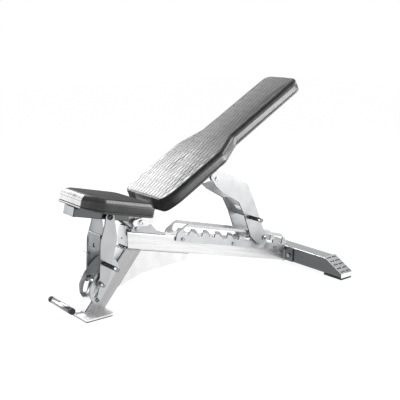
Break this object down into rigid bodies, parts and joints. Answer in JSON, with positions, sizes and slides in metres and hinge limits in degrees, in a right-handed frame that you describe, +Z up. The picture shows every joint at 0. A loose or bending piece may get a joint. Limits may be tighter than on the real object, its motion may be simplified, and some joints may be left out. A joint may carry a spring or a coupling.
{
  "type": "adjustable weight bench",
  "caption": "Adjustable weight bench: a sloping steel beam on two feet with a toothed rack, a tilting backrest held by a support arm, and a tilting seat on a slotted strut.",
  "frame": {"origin": "on the floor under the middle of the bench's outline", "axes": "+X towards the rear foot and the head of the backrest, +Z up, the side with both grips is -Y"},
  "size_m": [1.2204, 0.7466, 0.8358],
  "materials": {
    "brushed_steel": "brushed stainless tube under clear coat",
    "plate_steel": "laser-cut steel plate, fine brushed, clear coated",
    "chrome": "polished chrome",
    "bolt_steel": "zinc-plated fastener",
    "rubber": "moulded black rubber",
    "vinyl": "black upholstery vinyl over foam, embossed"
  },
  "bodies": {
    "frame": {"front_foot_rubber": "rubber", "front_foot_plate": "brushed_steel", "front_leg": "brushed_steel", "leg_gusset_near": "plate_steel", "leg_gusset_far": "plate_steel", "transport_handle": "chrome", "handle_cap_near": "rubber", "handle_cap_far": "rubber", "handle_strap": "plate_steel", "rear_foot": "brushed_steel", "rear_foot_rubber_near": "rubber", "rear_foot_rubber_far": "rubber", "rear_foot_tread_near": "plate_steel", "rear_foot_tread_far": "plate_steel", "rear_flange": "plate_steel", "flange_bolt_near": "bolt_steel", "flange_bolt_far": "bolt_steel", "main_beam": "brushed_steel", "beam_end_cap": "brushed_steel", "rack_near": "plate_steel", "rack_far": "plate_steel", "rack_bolt_front": "bolt_steel", "rack_bolt_middle": "bolt_steel", "rack_bolt_rear": "bolt_steel", "pivot_bracket": "brushed_steel", "back_pivot_bolt": "bolt_steel", "back_pivot_sleeve_near": "chrome", "back_pivot_sleeve_far": "chrome", "seat_pivot_bolt": "bolt_steel", "slot_plate_near": "plate_steel", "slot_plate_far": "plate_steel", "slot_plate_bolt": "chrome"},
    "seat": {"seat_pad": "vinyl", "seat_carrier": "brushed_steel", "seat_carrier_cap": "brushed_steel", "seat_hinge_near": "plate_steel", "seat_hinge_far": "plate_steel", "strut_bolt": "bolt_steel", "seat_screw_front": "bolt_steel", "seat_screw_rear": "bolt_steel"},
    "seat_strut": {"strut_near": "plate_steel", "strut_far": "plate_steel", "strut_web": "plate_steel", "strut_pin": "chrome", "seat_grip_rod": "chrome", "seat_grip_sleeve": "rubber", "strut_stub": "chrome"},
    "backrest": {"back_pad": "vinyl", "back_rail_near": "plate_steel", "back_rail_far": "plate_steel", "arm_pivot_bolt_near": "bolt_steel", "arm_pivot_bolt_far": "bolt_steel", "back_cross_bar_lower": "plate_steel", "back_cross_bar_upper": "plate_steel"},
    "back_arm": {"support_arm_near": "plate_steel", "support_arm_far": "plate_steel", "lock_pin": "chrome", "arm_web": "plate_steel", "arm_grip_rod": "chrome", "arm_grip_sleeve": "rubber"}
  },
  "joints": [
    {"name": "back_tilt", "type": "hinge", "parent": "frame", "child": "backrest", "pos_m": [-0.26675, 0, 0.325], "axis": [0, -1, 0], "range_deg": [-29.5, 39.5]},
    {"name": "arm_swing", "type": "hinge", "parent": "backrest", "child": "back_arm", "pos_m": [0.10825, 0, 0.45], "axis": [0, -1, 0], "range_deg": [-78.5, 58.5]},
    {"name": "seat_tilt", "type": "hinge", "parent": "frame", "child": "seat", "pos_m": [-0.27775, 0, 0.299], "axis": [0, -1, 0], "range_deg": [0, 13.5]},
    {"name": "strut_swing", "type": "hinge", "parent": "seat", "child": "seat_strut", "pos_m": [-0.40675, 0, 0.371], "axis": [0, -1, 0], "range_deg": [-13.5, 0]}
  ],
  "couplings": [
    {"joint": "arm_swing", "follows": "back_tilt", "ratio": -1.9777},
    {"joint": "strut_swing", "follows": "seat_tilt", "ratio": -1}
  ]
}
